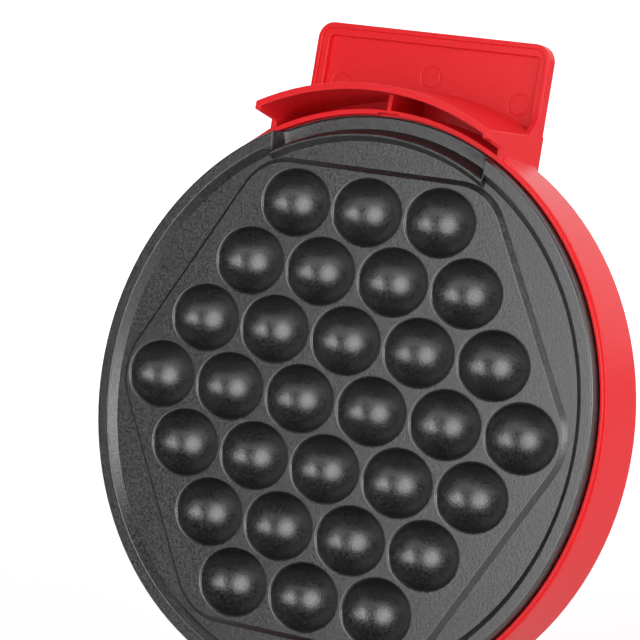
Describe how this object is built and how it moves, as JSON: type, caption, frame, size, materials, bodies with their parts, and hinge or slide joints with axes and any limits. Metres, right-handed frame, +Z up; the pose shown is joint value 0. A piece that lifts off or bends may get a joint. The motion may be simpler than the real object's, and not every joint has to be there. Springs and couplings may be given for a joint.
{
  "type": "cake pop maker",
  "caption": "Round electric clamshell cooker with a hinged red lid and two dark non-stick plates of oval cups for baking small egg-shaped cake balls.",
  "frame": {"origin": "middle of the whole object's footprint, with the lid open on its stop, at the level of the feet", "axes": "+Z up; the front, where the handle closes down, faces -Y; the hinge axis runs along X; +X is the user's right"},
  "size_m": [0.2214, 0.3344, 0.2933],
  "materials": {
    "red_plastic": "glossy moulded, deep red",
    "nonstick_plate": "cast aluminium under a dark grey speckled non-stick coat, semi-matt",
    "black_plastic": "fine matt",
    "foot_rubber": "matt",
    "zinc_steel": "zinc plated",
    "element_steel": "dull, heat stained",
    "bright_aluminium": "bright rolled sheet",
    "white_ceramic": "unglazed white ceramic",
    "white_plastic": "matt",
    "red_lens": "clear red",
    "green_lens": "clear green",
    "lamp_glass": "clear"
  },
  "bodies": {
    "base": {"base_shell": "red_plastic", "bottom_cover": "black_plastic", "rubber_feet": "foot_rubber", "cover_screws": "zinc_steel", "hinge_pins": "zinc_steel", "terminal_block": "white_plastic", "cord_gland": "black_plastic", "lower_cooking_plate": "nonstick_plate", "lower_plate_screws": "zinc_steel", "lower_heating_element": "element_steel", "lower_element_beads": "white_ceramic", "lower_element_terminals": "zinc_steel", "lower_reflector": "bright_aluminium", "lower_reflector_screw": "zinc_steel", "thermostat_cup": "bright_aluminium", "thermostat": "black_plastic", "lower_thermal_fuse": "bright_aluminium", "lower_fuse_clip": "zinc_steel"},
    "lid": {"lid_shell": "red_plastic", "upper_cooking_plate": "nonstick_plate", "upper_plate_screws": "zinc_steel", "screw_caps": "red_plastic", "upper_heating_element": "element_steel", "upper_element_beads": "white_ceramic", "upper_element_terminals": "zinc_steel", "upper_reflector": "bright_aluminium", "upper_reflector_screw": "zinc_steel", "upper_thermal_fuse": "bright_aluminium", "upper_fuse_clip": "zinc_steel", "power_lens": "red_lens", "ready_lens": "green_lens", "indicator_lamps": "lamp_glass"}
  },
  "joints": [
    {"name": "lid_hinge", "type": "hinge", "parent": "base", "child": "lid", "pos_m": [0, 0.06146, 0.051], "axis": [1, 0, 0], "range_deg": [0, 107]}
  ]
}
